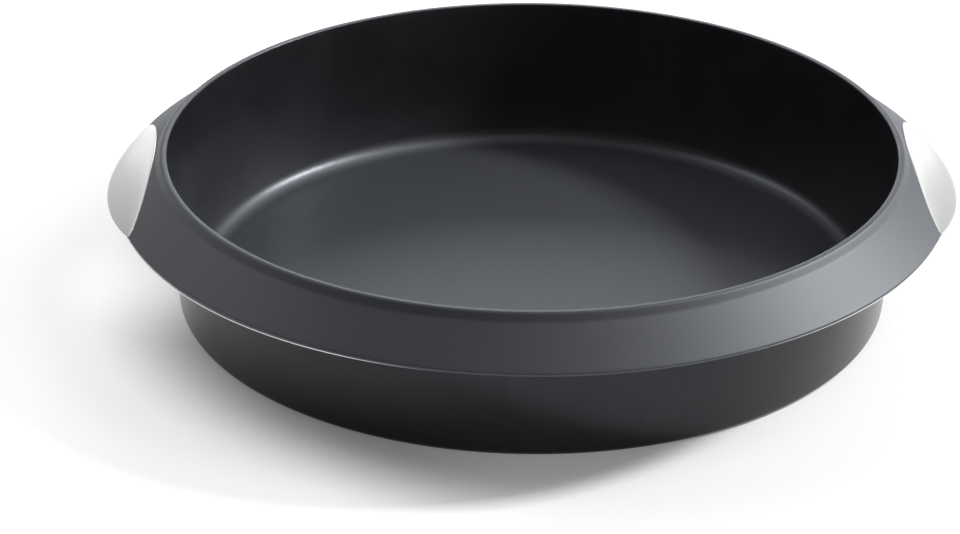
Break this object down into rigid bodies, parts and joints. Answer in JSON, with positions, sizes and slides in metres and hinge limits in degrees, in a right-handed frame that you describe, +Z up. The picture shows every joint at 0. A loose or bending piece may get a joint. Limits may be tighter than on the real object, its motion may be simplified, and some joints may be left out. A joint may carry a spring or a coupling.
{
  "type": "round silicone cake mould",
  "caption": "Round shallow baking mould of dark silicone with a sloping collar, seated in a thin stainless steel carrying ring whose two lens-shaped grips show through the collar.",
  "frame": {"origin": "centre of the flat base, on the surface that the mould stands on", "axes": "+Z up out of the mouth, +X towards one grip, the other grip at -X"},
  "size_m": [0.3044, 0.2968, 0.0562],
  "materials": {
    "silicone": "matte moulded silicone with a faint satin sheen",
    "stainless_steel": "satin stainless sheet"
  },
  "bodies": {
    "steel_frame": {"steel_frame": "stainless_steel"},
    "silicone_mould": {"silicone_mould": "silicone"}
  },
  "joints": [
    {"name": "mould_lift", "type": "slide", "parent": "steel_frame", "child": "silicone_mould", "axis": [0, 0, 1], "range_m": [0, 0.06]}
  ]
}
